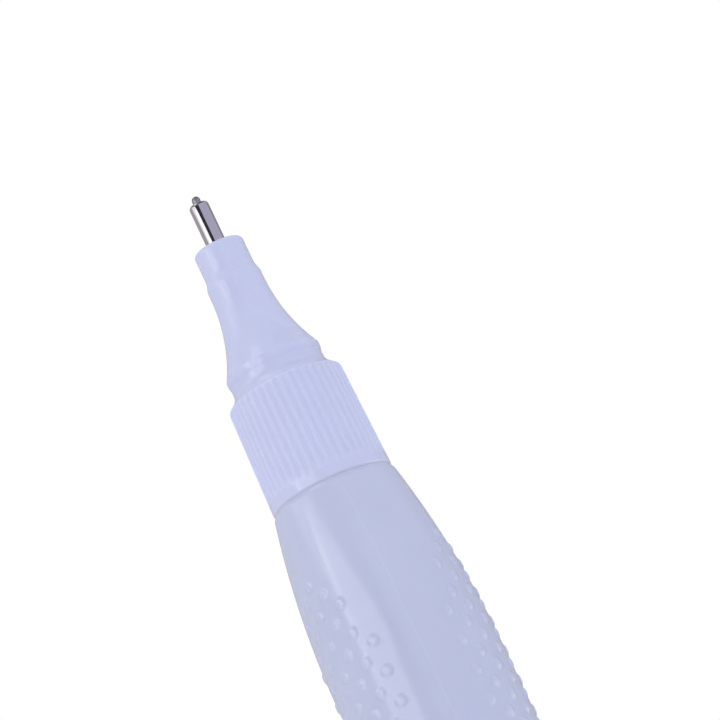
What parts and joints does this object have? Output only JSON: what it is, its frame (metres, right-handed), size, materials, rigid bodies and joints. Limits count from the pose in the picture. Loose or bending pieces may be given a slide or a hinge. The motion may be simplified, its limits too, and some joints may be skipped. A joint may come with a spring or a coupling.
{
  "type": "correction pen",
  "caption": "Squeeze correction pen with a soft bulged barrel, dotted grip panels, ribbed flared nozzle and a metal tip with a sprung pin valve.",
  "frame": {"origin": "centre of the flat rear face of the barrel, on which the pen stands", "axes": "+Z along the pen's axis from the rear face to the tip; -Y and +Y through the two parting lines; the three dotted grip panels stand 120 degrees apart, one of them on +Y"},
  "size_m": [0.0172, 0.017, 0.1377],
  "materials": {
    "barrel_polyethylene": "soft satin, slightly translucent pale lavender",
    "nozzle_polypropylene": "moulded, opaque pale lavender",
    "gasket_rubber": "soft pale grey",
    "tip_stainless": "polished stainless steel",
    "pin_stainless": "ground stainless steel",
    "valve_acetal": "moulded natural white",
    "spring_stainless": "drawn spring wire",
    "ball_steel": "polished steel"
  },
  "bodies": {
    "pen": {"barrel": "barrel_polyethylene", "nozzle": "nozzle_polypropylene", "neck_gasket": "gasket_rubber", "tip_tube": "tip_stainless", "spring_plug": "valve_acetal", "valve_spring": "spring_stainless"},
    "valve": {"valve_pin": "pin_stainless", "pin_collar": "valve_acetal"},
    "ball": {"mixing_ball": "ball_steel"}
  },
  "joints": [
    {"name": "valve_slide", "type": "slide", "parent": "pen", "child": "valve", "axis": [0, 0, -1], "range_m": [0, 0.0005], "stiffness_N_per_m": 300, "springref_m": -0.002, "deforming": ["valve_spring"]},
    {"name": "ball_slide", "type": "slide", "parent": "pen", "child": "ball", "axis": [0, 0, 1], "range_m": [0, 0.1095]}
  ]
}
